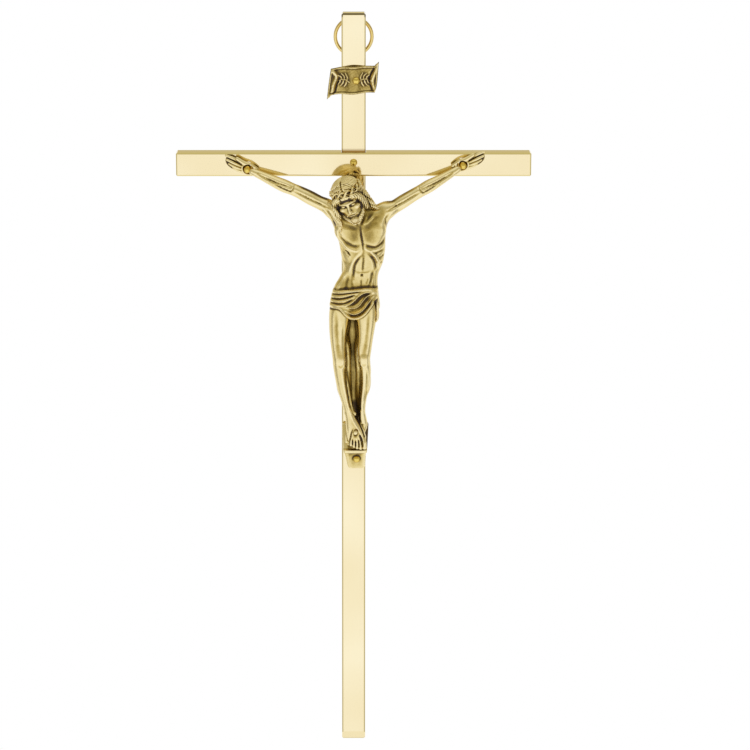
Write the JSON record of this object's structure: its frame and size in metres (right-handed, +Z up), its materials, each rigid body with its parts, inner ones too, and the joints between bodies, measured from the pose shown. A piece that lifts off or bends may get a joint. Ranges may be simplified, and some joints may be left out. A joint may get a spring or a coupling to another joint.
{
  "type": "wall crucifix",
  "caption": "Slim wall crucifix of hollow formed brass bars with a cast figure on a foot block, a cast scroll plate above it, and a swinging wire ring behind the top to hang it by.",
  "frame": {"origin": "middle of the hanging ring's wire inside the rolled strap, which is the point that the crucifix hangs and turns about", "axes": "+Z up along the upright, front faces -Y, +X to the viewer's right"},
  "size_m": [0.118, 0.0249, 0.255],
  "materials": {
    "polished_brass": "bright polished brass sheet under clear lacquer, mirror-like",
    "antiqued_brass": "cast brass, dark brown patina in the hollows and rubbed bright on the high places",
    "rivet_brass": "bright turned brass, satin from peening",
    "plain_brass": "plain brass, satin, slightly dulled inside the bars",
    "wire_brass": "drawn brass wire, satin"
  },
  "bodies": {
    "crucifix": {"upright": "polished_brass", "crossbar": "polished_brass", "corpus": "antiqued_brass", "scroll_plate": "antiqued_brass", "left_hand_nail": "rivet_brass", "right_hand_nail": "rivet_brass", "foot_rivet": "rivet_brass", "plate_rivet": "rivet_brass", "crossing_rivet": "rivet_brass", "washers": "plain_brass", "hanger_strap": "plain_brass"},
    "ring": {"hanging_ring": "wire_brass"}
  },
  "joints": [
    {"name": "ring_swing", "type": "hinge", "parent": "crucifix", "child": "ring", "pos_m": [0, 0, 0], "axis": [1, 0, 0], "range_deg": [0, 180]}
  ]
}
